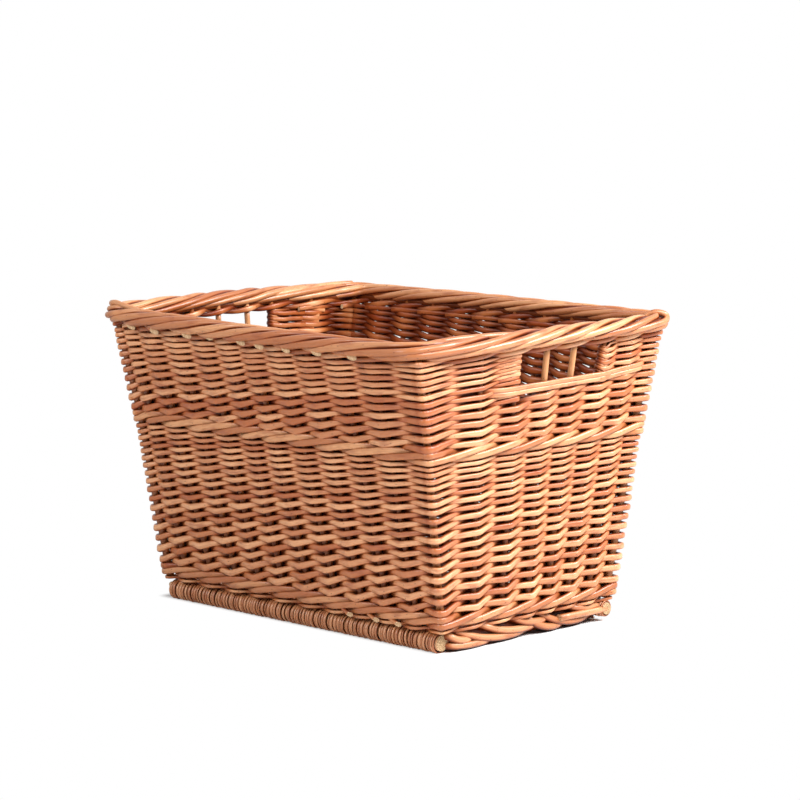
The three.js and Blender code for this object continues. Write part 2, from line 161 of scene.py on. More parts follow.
def smooth_path(points, steps):
    """A cubic curve through the points, each stretch cut into a number of steps. The slope at a
    point is the mean of its two chords' slopes, each weighted by the other chord's length.
    Also gives where each sample lies, counted in points."""
    points = np.asarray(points, float)
    chord = np.diff(points, axis=0)
    length = np.linalg.norm(chord, axis=1)[:, None]
    slope = chord / length
    weights = length[1:] + length[:-1]
    inner = (slope[:-1] * length[1:] + slope[1:] * length[:-1]) / weights
    slopes = np.vstack([slope[:1], inner, slope[-1:]])
    t = (np.arange(steps) / steps)[None, :, None]
    start, end = points[:-1, None], points[1:, None]
    leave, arrive = (slopes[:-1] * length)[:, None], (slopes[1:] * length)[:, None]
    curve = (
        (2 * t**3 - 3 * t**2 + 1) * start
        + (t**3 - 2 * t**2 + t) * leave
        + (3 * t**2 - 2 * t**3) * end
        + (t**3 - t**2) * arrive
    )
    path = np.vstack([curve.reshape(-1, 3), points[-1:]])
    return path, np.append(np.arange(len(chord) * steps) / steps, len(chord))


# How open to the light a point lies, in millimetres, from deep between the rods to fully open. The
# materials paint shade by it.
DEEP_IN, FULLY_OPEN = -4, 6


def rod(
    points, high, deep, steps=3, sides=10, up=(0, 0, 1), cut=None, away=None, proud=6, shade=1,
    square=1,
):
    """A rod along a smooth path. Its section is an oval square to the path, with the half size
    high along the up direction and deep across, given for each point. Its sine and cosine are
    raised to the square power, so below 1 it has flatter faces. A slanting cut moves the last
    ring's points along the rod by their offset in the cut's direction. How open a point lies is
    proud, how far the rod stands out in the away direction, times how far the point faces that
    way, plus the half size times the square of that. Faces that look the other way keep a share
    of it, the shade. The materials paint shade by how open a point lies."""
    path, at = smooth_path(points, steps)
    ahead = np.gradient(path, axis=0)
    ahead /= np.linalg.norm(ahead, axis=1)[:, None]
    upward = np.asarray(up, float) - ahead * (ahead @ np.asarray(up, float))[:, None]
    upward /= np.linalg.norm(upward, axis=1)[:, None]
    across = np.cross(ahead, upward)
    angle = 2 * math.pi * np.arange(sides) / sides
    number = np.arange(len(points))
    tall = np.interp(at, number, np.broadcast_to(high, number.shape))
    wide = np.interp(at, number, np.broadcast_to(deep, number.shape))
    rise = np.sign(np.cos(angle)) * np.abs(np.cos(angle)) ** square
    side = np.sign(np.sin(angle)) * np.abs(np.sin(angle)) ** square
    ring = upward[:, None] * (rise[None, :] * tall[:, None])[..., None]
    ring = ring + across[:, None] * (side[None, :] * wide[:, None])[..., None]
    openness = np.full(ring.shape[:2], float(FULLY_OPEN))
    if away is not None:
        away = np.broadcast_to(away, (len(points), 3))
        away = np.stack([np.interp(at, number, part) for part in away.T], axis=-1)
        facing = (ring * away[:, None]).sum(-1) / np.linalg.norm(ring, axis=-1)
        proud = np.interp(at, number, np.broadcast_to(proud, number.shape))
        openness = proud[:, None] * facing + tall[:, None] * facing**2
        shade = np.interp(at, number, np.broadcast_to(shade, number.shape))
        openness = np.where(facing < 0, shade[:, None], 1) * openness
    if cut is not None:
        ring[-1] += ahead[-1] * (ring[-1] @ cut)[:, None]
    run = np.append(0, np.cumsum(np.linalg.norm(np.diff(path, axis=0), axis=1)))
    return {
        "rings": path[:, None] + ring,
        "run": run,
        "open": openness,
        "tone": rng.random(),
        "closed": False,
    }


FLOOR_GAP = 0.05


def loops(centres, radius, half_width, half_thick, tilt, turns=16, sides=5):
    """Closed loops round a stick along X: a circle of points with an oval section, wide along X
    and thick along the radius. Each leans along X by its tilt times a sine of the angle, turned
    by nine times the tilt, and is flat at the floor. It lies open by seven times the cosine
    round its section, and one, so its edges get darker painted shade."""
    angle = 2 * math.pi * np.arange(turns) / turns
    bead = 2 * math.pi * np.arange(sides) / sides
    made = []
    for centre, r, width, thick, lean in zip(centres, radius, half_width, half_thick, tilt):
        reach = r + thick * np.cos(bead)[None, :]
        x = centre[0] + width * np.sin(bead)[None, :] + (lean * np.sin(angle + lean * 9))[:, None]
        y = centre[1] + reach * np.cos(angle)[:, None]
        z = np.maximum(centre[2] + reach * np.sin(angle)[:, None], FLOOR_GAP)
        rings = np.stack(np.broadcast_arrays(x, y, z), axis=-1)
        made.append({
            "rings": rings,
            "run": r * np.append(angle, 2 * math.pi),
            "open": np.broadcast_to(7 * np.cos(bead) + 1, rings.shape[:2]),
            "tone": rng.random(),
            "closed": True,
        })
    return made


def piece(name, rods, materials, nodes):
    """One mesh of all the rods: rings of points joined by quads, with a flat end face on each
    open rod in the second material. The UV map runs along each rod and round it, in metres, and
    on an end face it is the distance from its middle, at the point's angle in the ring. The tone
    attribute holds one number for each rod, and the open attribute how open a point lies, by
    which the materials paint shade."""
    points, corners, starts, smooth, ends, uvs, tones, opens = [], [], [], [], [], [], [], []
    first, corner = 0, 0
    for one in rods:
        count, sides, _ = one["rings"].shape
        rows = count if one["closed"] else count - 1
        i = np.arange(rows)[:, None]
        j = np.arange(sides)[None, :]
        after, beside = (i + 1) % count, (j + 1) % sides
        quads = np.stack([
            i * sides + j, i * sides + beside, after * sides + beside, after * sides + j,
        ], axis=-1).reshape(-1, 4)
        girth = 2 * math.pi * np.linalg.norm(one["rings"][0, 0] - one["rings"][0].mean(0))
        v, v_next = j / sides * girth, (j + 1) / sides * girth
        along, along_next = one["run"][:rows, None], one["run"][1 : rows + 1, None]
        uv = np.stack([
            np.stack(np.broadcast_arrays(a, b), axis=-1)
            for a, b in ((along, v), (along, v_next), (along_next, v_next), (along_next, v))
        ], axis=2).reshape(-1, 2)
        faces = len(quads)
        points.append(one["rings"].reshape(-1, 3))
        opens.append(one["open"].ravel())
        corners.append(quads.ravel() + first)
        starts.append(corner + 4 * np.arange(faces))
        smooth.append(np.ones(faces, bool))
        ends.append(np.zeros(faces, int))
        uvs.append(uv)
        tones.append(np.full(faces, one["tone"]))
        corner += 4 * faces
        if not one["closed"]:
            ring = np.arange(sides)
            ring_angle = 2 * math.pi * ring / sides
            for cap, place in ((ring[::-1], 0), (ring + (count - 1) * sides, -1)):
                far = np.linalg.norm(one["rings"][place] - one["rings"][place].mean(0), axis=1)
                face = np.column_stack([far * np.cos(ring_angle), far * np.sin(ring_angle)])
                corners.append(cap + first)
                starts.append([corner])
                smooth.append([False])
                ends.append([1])
                uvs.append(face if place else face[::-1])
                tones.append([one["tone"]])
                corner += sides
        first += count * sides
    mesh = bpy.data.meshes.new(name)
    points = np.concatenate(points) * MM
    mesh.vertices.add(len(points))
    mesh.vertices.foreach_set("co", points.ravel())
    mesh.loops.add(corner)
    mesh.loops.foreach_set("vertex_index", np.concatenate(corners))
    starts = np.concatenate(starts)
    mesh.polygons.add(len(starts))
    mesh.polygons.foreach_set("loop_start", starts)
    mesh.polygons.foreach_set("use_smooth", np.concatenate(smooth))
    mesh.polygons.foreach_set("material_index", np.concatenate(ends))
    mesh.uv_layers.new(name="rod").data.foreach_set("uv", np.concatenate(uvs).ravel() * MM)
    mesh.attributes.new("tone", "FLOAT", "FACE").data.foreach_set("value", np.concatenate(tones))
    mesh.attributes.new("open", "FLOAT", "POINT").data.foreach_set("value", np.concatenate(opens))
    mesh.update(calc_edges=True)
    for material in materials:
        mesh.materials.append(material)
    made = bpy.data.objects.new(name, mesh)
    scene.collection.objects.link(made)
    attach(made, "root")
    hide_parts(*nodes)


# Materials

BLACK, WHITE = (0, 0, 0, 1), (1, 1, 1, 1)


def linear(code):
    """An sRGB hex colour as linear red, green, blue and alpha: each part over 12.92 where it is
    dark, and otherwise the part and 0.055, over 1.055, to the power 2.4."""
    parts = [int(code[i : i + 2], 16) / 255 for i in (1, 3, 5)]
    return [p / 12.92 if p <= 0.04045 else ((p + 0.055) / 1.055) ** 2.4 for p in parts] + [1]


def add_node(tree, kind, settings=None, inputs=None, stops=()):
    """A new node of a kind, with its settings, a value or a link for each of its inputs, and the
    places and colours of its ramp. Gives its outputs."""
    made = tree.nodes.new("ShaderNode" + kind)
    for key, value in (settings or {}).items():
        setattr(made, key, value)
    for key, value in (inputs or {}).items():
        if isinstance(value, bpy.types.NodeSocket):
            tree.links.new(value, made.inputs[key])
        else:
            made.inputs[key].default_value = value
    for number, (place, colour) in enumerate(stops):
        marks = made.color_ramp.elements
        mark = marks[number] if number < 2 else marks.new(1)
        mark.position = place
        mark.color = colour
    return made.outputs


def new_material(name):
    """An empty node material, and its node tree."""
    made = bpy.data.materials.new(name)
    made.use_nodes = True
    made.node_tree.nodes.clear()
    return made, made.node_tree


# Sizes of willow's marks, in millimetres along the rod and round it, and of its grain's relief
STREAK, BLUSH, BUD_CELL = (16, 0.9), (28, 9), (11, 6)
GRAIN_HEIGHT = 0.4
WOOD_IOR = 1.5
IN_PLANE = {"noise_dimensions": "2D"}
MIX = {"data_type": "RGBA"}


def buff_willow(name, pale, deep, red):
    """Buff willow: rods boiled in their bark and peeled, which stains them from tan to orange
    brown. The peeled skin is smooth and gives a satin sheen. Long fine streaks run along it, with
    red brown blushes and small dark buds. Where the rods lie deep in the weave, painted shade
    darkens the colour and takes away the sheen."""
    made, tree = new_material(name)
    uv = add_node(tree, "UVMap", {"uv_map": "rod"})["UV"]
    tone = add_node(tree, "Attribute", {"attribute_name": "tone"})["Fac"]
    lies_open = add_node(tree, "Attribute", {"attribute_name": "open"})["Fac"]
    pale, deep, red = linear(pale), linear(deep), linear(red)

    # Each rod has a part of the pattern of its own, measured in streaks, in blushes and in cells
    apart = add_node(tree, "VectorMath", {"operation": "SCALE"}, {0: (37, 11, 0), "Scale": tone})
    own = add_node(tree, "VectorMath", {"operation": "ADD"}, {0: uv, 1: apart[0]})[0]
    streak_place, blush_place, bud_place = [
        add_node(tree, "Mapping", inputs={
            "Vector": own, "Scale": (1 / (along * MM), 1 / (around * MM), 1),
        })[0]
        for along, around in (STREAK, BLUSH, BUD_CELL)
    ]

    # Its colour lies between deep and pale, with streaks of the deep one and blushes of the red
    noise = {"Scale": 1, "Roughness": 0.55}
    streaks = add_node(
        tree, "TexNoise", IN_PLANE, {"Vector": streak_place, "Detail": 3, **noise}
    )["Fac"]
    blush = add_node(
        tree, "TexNoise", IN_PLANE, {"Vector": blush_place, "Detail": 2, **noise}
    )["Fac"]
    rod_colour = add_node(tree, "ValToRGB", None, {"Fac": tone}, [(0, deep), (0.95, pale)])[0]
    streaky = add_node(tree, "ValToRGB", None, {"Fac": streaks}, [(0.35, BLACK), (0.7, WHITE)])[0]
    streaked = add_node(tree, "Mix", MIX, {0: streaky, 6: rod_colour, 7: deep})[2]
    colour = add_node(tree, "Mix", MIX, {0: 0.45, 6: rod_colour, 7: streaked})[2]
    half = (0.55, 0.55, 0.55, 1)
    blushed = add_node(tree, "ValToRGB", None, {"Fac": blush}, [(0.52, BLACK), (0.72, half)])[0]
    colour = add_node(tree, "Mix", MIX, {0: blushed, 6: colour, 7: red})[2]

    # Buds: the middles of some of the cells
    cells = add_node(
        tree, "TexVoronoi", {"voronoi_dimensions": "2D", "feature": "F1"},
        {"Vector": bud_place, "Scale": 1, "Randomness": 1},
    )
    bud = add_node(
        tree, "ValToRGB", None, {"Fac": cells["Distance"]}, [(0.05, WHITE), (0.09, BLACK)]
    )[0]
    kept = add_node(
        tree, "ValToRGB", None, {"Fac": cells["Color"]}, [(0.6, BLACK), (0.62, (0.8, 0.8, 0.8, 1))]
    )[0]
    bud = add_node(tree, "Math", {"operation": "MULTIPLY"}, {0: bud, 1: kept})[0]
    colour = add_node(tree, "Mix", MIX, {0: bud, 6: colour, 7: linear("#5e2f16")})[2]

    # Painted shade: deep in the weave the colour is darkened and the sheen taken away
    share = add_node(
        tree, "MapRange",
        inputs={"Value": lies_open, "From Min": DEEP_IN, "From Max": FULLY_OPEN},
    )[0]
    crevice_shade = add_node(tree, "ValToRGB", None, {"Fac": share}, [
        (0, linear("#3a1f0d")), (0.4, linear("#8a5a35")), (0.68, linear("#ddb894")), (0.9, WHITE),
    ])[0]
    colour = add_node(
        tree, "Mix", {**MIX, "blend_type": "MULTIPLY"}, {0: 1, 6: colour, 7: crevice_shade}
    )[2]
    sheen = add_node(tree, "MapRange", inputs={"Value": share, "To Min": 0.05, "To Max": 0.62})
    bump = add_node(
        tree, "Bump", inputs={"Strength": 0.25, "Distance": GRAIN_HEIGHT * MM, "Height": streaks}
    )
    shader = add_node(tree, "BsdfPrincipled", inputs={
        "Base Color": colour, "Roughness": 0.35, "IOR": WOOD_IOR,
        "Specular IOR Level": sheen[0], "Normal": bump["Normal"],
    })
    add_node(tree, "OutputMaterial", inputs={"Surface": shader[0]})
    return made


PORE = 0.9


def cut_end(name, wood, pith):
    """The cut face of a willow rod: dry wood, pale and matt, with darker pores. Real pores are
    finer, and these are as coarse as they need to be to show."""
    made, tree = new_material(name)
    uv = add_node(tree, "UVMap", {"uv_map": "rod"})["UV"]
    pores = add_node(
        tree, "TexNoise", IN_PLANE, {"Vector": uv, "Scale": 1 / (PORE * MM), "Detail": 2}
    )["Fac"]
    colour = add_node(
        tree, "ValToRGB", None, {"Fac": pores}, [(0.4, linear(pith)), (0.6, linear(wood))]
    )[0]
    shader = add_node(
        tree, "BsdfPrincipled", inputs={"Base Color": colour, "Roughness": 0.8, "IOR": WOOD_IOR}
    )
    add_node(tree, "OutputMaterial", inputs={"Surface": shader[0]})
    return made


# Weavers are the palest, thick rods are duller, and the bindings are redder. The foot rods are
# darker and redder: painted shade for the wall that hangs over them
weaver_willow = buff_willow("buff willow weaver", "#e7ac7d", "#af6030", "#94431f")
thick_willow = buff_willow("buff willow thick rod", "#dfa473", "#ab6132", "#934720")
stake_willow = buff_willow("buff willow stake", "#d8a06e", "#b87746", "#9f5a30")
shaded_foot_willow = buff_willow("buff willow foot rod in painted shade", "#d7976a", "#b06b3f", "#964d26")
skein_willow = buff_willow("buff willow base weaver", "#d99d70", "#ad6a40", "#92492a")
pale_cut = cut_end("cut willow end", "#dcbe98", "#a77c52")
stick_end = cut_end("sawn willow stick end", "#d3b48a", "#7d5630")


# Hand holes

def hole_jambs(side):
    """The two jamb stakes of a hand hole, as places: the side's second stake and its fifth."""
    numbers = [number for number, name in enumerate(names) if name.startswith(f"stake_{side}_")]
    return numbers[1], numbers[4]


HOLES = [hole_jambs("right"), hole_jambs("left")]
SILL = 248
SILL_ROD = 4.9


# Stakes, with painted shade: none where bare in the hand holes, a little where seen at the corners,
# and more elsewhere deep between the rods

CORNER_OPEN, COVERED = 3.5, 1.2
stake_low = AXES[0, 0, 2] + 2
stake_high = STAKE_TOP + 5
for number, name in enumerate(names):
    z = np.linspace(stake_low, stake_high, 9)
    line = stake_at(np.full(z.shape, number), z)
    radius = RADII[number] * rng.uniform(0.94, 1.04) * np.linspace(1.05, 0.94, len(z))
    stake = rod(line, radius, radius, steps=2, sides=12, up=(*OUTS[number], 0))
    in_hole = any(jamb < number < far_jamb for jamb, far_jamb in HOLES)
    bare = in_hole & (stake["rings"][..., 2] > SILL - 4)
    # Painted shade: bare parts fully open, the rest darker by how deep it lies
    stake["open"] = np.where(bare, FULLY_OPEN, CORNER_OPEN if IS_CORNER[number] else COVERED)
    piece(f"{name}_rod", [stake], (stake_willow, pale_cut), [name])


# Rods woven through the stakes

# Painted shade on faces that look inwards: the share of their openness they keep on the long sides
# and on the short sides
INSIDE_LIGHT, SHORT_SIDE_LIGHT = 0.38, 0.8
PRESSED, ROD_DEEP, FLAT_FACES = 0.9, 0.8, 0.72
INSIDE_SWELL = 1.36
FOLD = 0.002
FOLD_REACH = np.ones(STAKES)
FOLD_REACH[IS_CORNER] = 1.34, 1.16, 1.16, 0.85


def woven(place, kind, z, size, flat=1.0, swell=1.0, steps=2):
    """A rod through points of the wall, in the order of its run. Kind is 1 where it touches the
    outside of a stake, -1 inside and 0 in the stake line: its depth is kind times the stake's
    radius and the rod's half size, pressed a little. In front of a corner stake it folds over
    three points close together, the middle one further out. Flat is the share of its height that
    is left where it is squeezed, and swell how much higher it is in front of a stake. Faces that
    look inwards get painted shade, lighter at the short sides, where light falls on them over the
    rim."""
    place, kind, z, size, flat = np.broadcast_arrays(place, kind, z, size, flat)
    at_stake = place == np.rint(place)
    stake = np.rint(place).astype(int) % STAKES
    fold = at_stake & IS_CORNER[stake] & (kind > 0)
    times = np.where(fold, 3, 1)
    point = np.repeat(np.arange(len(place)), times)
    turn = np.where(fold[point], np.arange(len(point)) - (np.cumsum(times) - times)[point] - 1, 0)
    travel = np.sign(np.gradient(place))[point]
    depth = kind * (RADII[stake] + PRESSED * size)
    depth = depth[point] * np.where(fold[point] & (turn == 0), FOLD_REACH[stake][point], 1)
    path = wall(place[point] + FOLD * turn * travel, depth, z[point])
    bay = np.floor(place).astype(int) % STAKES
    away = np.where(at_stake[:, None], OUTS[stake], BAY_OUTS[bay])
    away = np.column_stack([away, np.zeros(len(place))])[point]
    swelled = np.interp(kind, [-0.6, -0.4, 0.4, 1], [INSIDE_SWELL, 1, 1, swell])
    high = (size * flat * swelled)[point]
    deep = ROD_DEEP * size[point]
    shade = INSIDE_LIGHT + (SHORT_SIDE_LIGHT - INSIDE_LIGHT) * np.abs(away[:, 0])
    # How open each point lies, for the painted shade: deep behind the stakes, open in front
    proud = np.interp(kind[point], [-1, -0.15, 0.1, 1], [-6, -1, 3.4, 6.5])
    return rod(path, high, deep, steps, away=away, proud=proud, shade=shade, square=FLAT_FACES)


# Randing: every weaver climbs from stake to stake, behind one and in front of the next

LOWER_ROUNDS, UPPER_ROUNDS = 17, 11
CLOSING = 0.33
SQUEEZE = 0.9
RIPPLE = 0.7
FILLET, FILLET_KIND, MID_BAY_KIND = 0.15, 0.76, 0.14
JAMB_REACH, JAMB_SLANT = 0.09, 1.6
LOW_SAG, WOBBLE = 0.3, 0.35


class Band:
    """A band of randing: its rows close up towards the top, where the rods are thin. A round is
    two rows, one in front of every other stake and one in front of those between them."""

    def __init__(self, rounds, bottom, top, butt, tip, sag, swell):
        self.rows, self.bottom, self.height = 2 * rounds, bottom, top - bottom
        self.butt, self.tip, self.sag, self.swell = butt, tip, sag, swell

    def level(self, row):
        """The height of a row: a parabola of its share of the rows, steeper at the bottom."""
        t = row / self.rows
        return self.bottom + self.height * t * (1 + CLOSING * (1 - t))

    def spacing(self, row):
        """The height between rows there, the slope of that parabola."""
        t = row / self.rows
        return self.height / self.rows * (1 + CLOSING * (1 - 2 * t))

    def ripple(self, place, row):
        """How far the rows run out of level: two slow sines of the place, shifted from row to
        row, times a parabola that is one in the middle of the band and nothing at its edges."""
        share = np.clip(row / self.rows, 0, 1)
        wave = np.sin(place * 0.9 + row / 7) + 0.7 * np.sin(place * 1.9 - row / 4.5 + 2)
        return RIPPLE * 4 * share * (1 - share) * wave


def jamb_points(row, kind, way):
    """Where a weaver turns round a jamb stake: beside the stake, on its other face and, if that
    is the outside, on behind the next stake. Way is 1 where it arrives and -1 where it leaves."""
    to_outside = kind < 0
    stop = rng.uniform(0.85, 1.3) if to_outside else rng.uniform(0.6, 0.85)
    rows = np.array([row + way * JAMB_REACH, row, row - way * 0.5, row - way * stop])
    return rows, np.array([0, 1, 0.1, -1] if to_outside else [0, -1, -0.8, -0.7])


def rand_weaver(band, start, first, last, turn_in=False, turn_out=False):
    """One weaver from a first to a last row. It runs straight from stake to stake and sags at
    them, more so low in the band. It may come from or end with a turn round a jamb stake, where
    it is thinner and slants, and otherwise its ends are tucked in behind."""
    row = np.arange(first, last + 1)
    front = np.where(row % 2 == 1, 1, -1)
    at = np.concatenate([row, row[1:] - FILLET, row[:-1] + FILLET, row[:-1] + 0.5])
    kind = np.concatenate([
        front, FILLET_KIND * front[1:], FILLET_KIND * front[:-1],
        np.full(len(row) - 1, MID_BAY_KIND),
    ])
    order = np.argsort(at)
    at, kind = at[order], kind[order]
    if turn_in:
        rows, kinds = jamb_points(first, front[0], -1)
        at, kind = np.append(rows[::-1], at), np.append(kinds[::-1], kind)
    else:
        at, kind = np.append(first - 0.45, at), np.append(-1.1, kind)
    if turn_out:
        rows, kinds = jamb_points(last, front[-1], 1)
        at, kind = np.append(at, rows), np.append(kind, kinds)
    else:
        at, kind = np.append(at, last + 0.4), np.append(kind, -1.5)
    size = np.interp(at, [0, band.rows], [band.butt, band.tip]) / 2 * rng.uniform(0.92, 1.06)
    slant = 0
    if turn_in or turn_out:
        jamb = np.array([first] * turn_in + [last] * turn_out)
        near = np.abs(at[:, None] - jamb).min(1)
        size = size * np.interp(near, [0.3, 1.5], [0.85 if start % 2 else 0.6, 1])
        hole_side = np.where(np.arange(len(at)) < len(at) / 2, -1, 1)
        slant = np.interp(near, [0, 0.6], [JAMB_SLANT, 0]) * hole_side * (kind > 0.3)
    wobble = rng.uniform(-1, 1, (2, len(row)))
    inside = np.clip(at, 0, band.rows)
    t = inside / band.rows
    sag = band.spacing(inside) * (band.sag + LOW_SAG * (1 - t) ** 2) * np.abs(kind)
    place = start + at
    z = band.level(inside) - sag + band.ripple(place, at) + WOBBLE * np.interp(at, row, wobble[0])
    z = z + slant
    kind = kind * (1 + 0.05 * np.interp(at, row, wobble[1]))
    return woven(place, kind, z, size, np.where(np.abs(kind) < 0.2, SQUEEZE, 1), band.swell)


def randing(band, holes=()):
    """All weavers of a band, one started at each stake. Each is cut and turned back at a hole
    that it meets above the sill, and starts again beyond it."""
    made = []
    for start in range(STAKES):
        first, turn_in = 0, False
        for jamb, far_jamb in sorted(holes, key=lambda hole: (hole[0] - start) % STAKES):
            row = (jamb - start) % STAKES
            beyond = row + far_jamb - jamb
            if row <= band.rows and band.level(row + 1.5) > SILL - SILL_ROD - 3:
                if row > first:
                    made.append(rand_weaver(band, start, first, row, turn_in, True))
                first, turn_in = beyond, True
        if first < band.rows:
            made.append(rand_weaver(band, start, first, band.rows, turn_in))
    return made


lower_low, lower_high = extent("lower_weave_front")
lower_band = Band(
    LOWER_ROUNDS, lower_low[2], lower_high[2], butt=7.1, tip=4.2, sag=0.3, swell=1.02
)
upper_band = Band(UPPER_ROUNDS, 196.1, 276.1, butt=6.6, tip=3.9, sag=0.24, swell=1.16)

# Two pieces, with the weavers of every other stake in each, so that neither mesh is too large
lower_rods = randing(lower_band)
for number, half in enumerate(("first", "second")):
    piece(
        f"lower_weavers_{half}", lower_rods[number::2], (weaver_willow, pale_cut),
        [f"lower_weave_{side}" for side, _ in SIDES],
    )


# Wales: rods that pass in front of some stakes and behind one, each over the next

CROSSING = {2: 0.48, 3: 0.6}


def wale_rod(number, rods, middle, size, start, stop, stand=1.0):
    """One rod of a wale: behind every stake whose count by the number of rods is the rod's own,
    and in front of the others. In front it climbs from the lowest course to the highest, and
    behind a stake it drops back. Stand is how far out it stands in front, but at the corners."""
    row = np.arange(start, stop + 1)
    phase = (row - number) % rods
    course = 1.9 * size
    front = phase > 0
    going_in, coming_out = (phase == rods - 1)[:-1], (phase == 0)[:-1]
    crossing = going_in | coming_out
    up_or_down = CROSSING[rods] * going_in - CROSSING[rods] * coming_out
    kind = np.append(np.where(front, 1, -1), np.where(crossing, 0, 1.1))
    rise = np.append(
        np.where(front, phase - rods / 2, 0),
        np.where(crossing, up_or_down, phase[:-1] + 0.5 - rods / 2),
    )
    at = np.append(row, row[:-1] + 0.5)
    order = np.argsort(at)
    at, kind, rise = at[order], kind[order], rise[order] * course
    taper = size * np.interp(at, [start, stop], [1.05, 0.93]) * rng.uniform(0.95, 1.04)
    z = middle + rise + rng.uniform(-0.25, 0.25, len(at))
    stands_out = (kind > 0) & ~IS_CORNER[np.rint(at).astype(int) % STAKES]
    return woven(at, np.where(stands_out, stand * kind, kind), z, taper, steps=3)


def wale(rods, middle, size, stand=1.0):
    """A closed round of a wale: each rod starts and ends behind its own stake."""
    return [
        wale_rod(number, rods, middle, size, number, number + STAKES, stand)
        for number in range(rods)
    ]


upsett_level = extent("upsett_wale")[0][2]
mid_level = extent("mid_wale")[0][2]
UPSETT_ROD, MID_ROD, TOP_ROD, PAIR_ROD = 6.4, 6.6, 5, 3.3
PAIR_STAND = 1.35
UPSETT_ENDS = (77, 113, 142)
FRONT_STAKES = np.arange(int(np.argmax(IS_CORNER)) + 1)


def upsett_end(x):
    """The cut end of a rod of the upsett on the front, at a distance along it: a smooth path down,
    along and outwards from under the wale, cut to face outwards."""
    front_x = AXES[:, 0, 0] + (AXES[:, 1, 0] - AXES[:, 0, 0]) * 0.1
    place = np.interp(x, front_x[FRONT_STAKES], FRONT_STAKES)
    line = wall(
        place + np.array([-0.4, -0.15, 0.06]), np.array([4, 7.5, 10]),
        upsett_level + np.array([8, 5.4, 3.4]),
    )
    out = np.array([0, -1, 0])
    return rod(line, 2.4, 2.4, steps=2, sides=12, cut=-1.1 * out, away=out, proud=2)


def hidden_round(level):
    """A rod laid all the way round on the stake line, where it closes the view between the top
    wale and the border."""
    places = np.arange(0, STAKES + 0.5, 0.5)
    made = woven(places, 0.0, float(level), 2.9)
    # Painted shade: it lies hidden, so it is made darker
    made["open"] = made["open"] - 2
    return made


def sill_rod(jamb, far_jamb, drop):
    """A long rod in front of all the stakes of a hand hole, tucked in behind the stakes beyond.
    It lies lower than the sill by the drop, climbs a little in the hole, and more beyond it."""
    at = np.arange(jamb - 1.5, far_jamb + 2.1, 0.5)
    ends = (at < jamb - 0.6) | (at > far_jamb + 1.6)
    kind = np.where(ends, -0.6, 1) * np.where(at % 1 == 0, 1, 0.86)
    z = SILL - drop + np.interp(at, [jamb, far_jamb, far_jamb + 2], [-1, 1, 7])
    return woven(at, kind, z, SILL_ROD / 2, steps=3)


SILL_DROPS = (2.3, 6.6)
sills = [sill_rod(*hole, drop) for hole in HOLES for drop in SILL_DROPS]
piece(
    "upper_weavers", randing(upper_band, HOLES) + sills, (weaver_willow, pale_cut),
    [f"upper_weave_{side}" for side, _ in SIDES],
)
piece(
    "upsett_rods",
    wale(3, upsett_level + 11.3, UPSETT_ROD / 2)
    + wale(2, upsett_level + 1.9, PAIR_ROD / 2, PAIR_STAND)
    + [upsett_end(x) for x in UPSETT_ENDS],
    (thick_willow, pale_cut), ["upsett_wale"],
)
piece(
    "mid_wale_rods", wale(3, mid_level + 6, MID_ROD / 2),
    (thick_willow, pale_cut), ["mid_wale"],
)
piece(
    "top_wale_rods", wale(2, STAKE_TOP - 1.6, TOP_ROD / 2) + [hidden_round(STAKE_TOP + 3.4)],
    (weaver_willow, pale_cut), ["top_wale"],
)


# Border: every stake's rod climbs the outside over three bays, crosses the top and goes down inside

# The roll's middle runs at one level, with bends of one radius at the corners. Its section is an
# oval, given by its half height and its half width, and a strand by its half thickness.
BORDER_LEVEL = STAKE_TOP + 9.3
BEND = 20
ROLL_HIGH, ROLL_OUT = 9, 13
STRAND = 3.4
border_low, border_high = extent("border")
rail_half = (border_high - border_low)[:2] / 2 - ROLL_OUT


def rail(run, half_x, half_y, bend):
    """Points of a rounded rectangle at a run from the front side's left end, counterclockwise, the
    direction out of it there, and its whole length. A point lies the bend's radius out of its
    hub, which is a corner's centre or goes straight from one to the next."""
    flat_x, flat_y = half_x - bend, half_y - bend
    arc = bend * math.pi / 2
    lengths = np.array([2 * flat_x, arc, 2 * flat_y, arc] * 2)
    starts = np.append(0, np.cumsum(lengths))
    run = np.mod(run, starts[-1])
    part = np.searchsorted(starts, run, side="right") - 1
    share = (run - starts[part]) / lengths[part]
    quarter = part // 2
    bending = part % 2 == 1
    turn = (quarter - 1 + np.where(bending, share, 0)) * math.pi / 2
    out = np.stack([np.cos(turn), np.sin(turn)], axis=-1)
    corners = np.array([[1, -1], [1, 1], [-1, 1], [-1, -1]]) * [flat_x, flat_y]
    end = corners[quarter]
    begin = corners[(quarter + 3) % 4]
    hub = np.where(bending[:, None], end, begin + (end - begin) * share[:, None])
    return hub + out * bend, out, starts[-1]


# Where each stake meets the roll: the nearest of many samples of the whole rail
samples = np.linspace(0, 2 * math.pi * rail_half.sum(), 4000)
rail_points, _, rail_length = rail(samples, *rail_half, BEND)
tops = AXES[:, 2, :2]
stake_runs = samples[np.argmin(np.linalg.norm(rail_points[None] - tops[:, None], axis=2), axis=1)]
stake_runs = np.mod(stake_runs, rail_length)
stake_runs = np.unwrap(stake_runs, period=rail_length)


def run_at(place):
    """Run along the border at a place counted in stakes: in proportion between two stakes."""
    lap = np.floor(place / STAKES)
    runs = np.append(stake_runs, stake_runs[0] + rail_length)
    return np.interp(place - lap * STAKES, np.arange(STAKES + 1), runs) + lap * rail_length


# A border rod's turn round the roll: bays from its stake, degrees, and share of the way out
TURN = (
    (-0.3, -140, 0.4), (0.0, -100, 0.9), (0.35, -66, 1.05), (0.8, -38, 1), (1.3, -10, 1),
    (1.75, 16, 1), (2.2, 46, 1), (2.6, 76, 1), (3.0, 104, 1), (3.5, 134, 1), (4.0, 162, 1),
    (4.5, 190, 1), (5.0, 218, 1), (5.5, 246, 0.95), (5.9, 268, 0.75),
)


